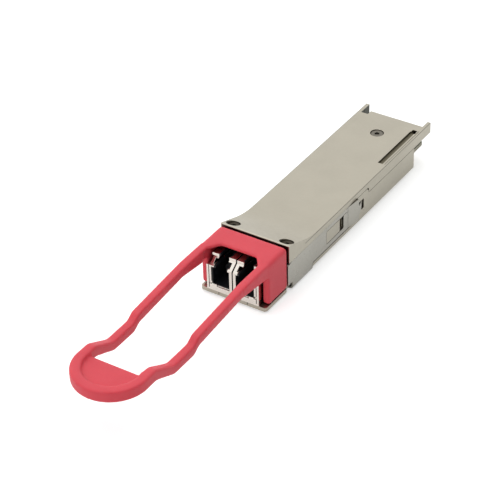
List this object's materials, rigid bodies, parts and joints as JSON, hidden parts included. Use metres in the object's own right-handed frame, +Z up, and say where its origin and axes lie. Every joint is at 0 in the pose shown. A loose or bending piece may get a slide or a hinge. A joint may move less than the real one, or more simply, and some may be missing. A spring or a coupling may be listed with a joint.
{
  "type": "optical transceiver module",
  "caption": "Pluggable optical transceiver with duplex fibre ports, metal shells, card edge, and a sprung latch bracket pulled by a looped tab.",
  "frame": {"origin": "below the middle of the whole part, on the surface it rests on", "axes": "+X across the module, +Y from the fibre ports to the card edge, +Z up through the top cover"},
  "size_m": [0.0194, 0.1314, 0.0134],
  "materials": {
    "die_cast_nickel": "satin nickel on die-cast zinc",
    "sheet_nickel": "satin nickel-plated sheet",
    "port_nickel": "bright nickel",
    "screw_steel": "dark plated steel",
    "spring_steel": "bright wire",
    "tab_red": "moulded, fine satin",
    "receptacle_black": "moulded, satin",
    "ceramic_white": "polished zirconia",
    "gilt_can": "gold-plated package",
    "steel_can": "plated package",
    "flex_amber": "polyimide film",
    "board_green": "solder mask over glass-fibre laminate",
    "contact_gold": "gold plating",
    "chip_black": "moulded epoxy",
    "component_tan": "chip capacitor",
    "pad_grey": "soft filled silicone",
    "gasket_dark": "conductive elastomer"
  },
  "bodies": {
    "housing": {"top_cover": "die_cast_nickel", "base_shell": "die_cast_nickel", "front_screws": "screw_steel", "rear_screw": "screw_steel", "port_frame_left": "port_nickel", "port_frame_right": "port_nickel", "receptacle_body": "receptacle_black", "ceramic_sleeve_left": "ceramic_white", "ceramic_sleeve_right": "ceramic_white", "transmitter_housing": "gilt_can", "receiver_housing": "steel_can", "transmitter_flex": "flex_amber", "receiver_flex": "flex_amber", "circuit_board": "board_green", "edge_contacts_top": "contact_gold", "edge_contacts_bottom": "contact_gold", "transmit_retimer": "chip_black", "receive_retimer": "chip_black", "microcontroller": "chip_black", "laser_driver": "chip_black", "small_components": "component_tan", "retimer_thermal_pad": "pad_grey", "optics_thermal_pad": "pad_grey", "seam_gasket_left": "gasket_dark", "seam_gasket_right": "gasket_dark", "nose_gasket": "gasket_dark", "return_spring_left": "spring_steel", "return_spring_right": "spring_steel"},
    "latch_slide": {"latch_bracket": "sheet_nickel", "pull_tab": "tab_red"}
  },
  "joints": [
    {"name": "tab_slide", "type": "slide", "parent": "housing", "child": "latch_slide", "axis": [0, -1, 0], "range_m": [0, 0.0017], "stiffness_N_per_m": 1500, "springref_m": -0.001, "deforming": ["return_spring_left", "return_spring_right"]}
  ]
}
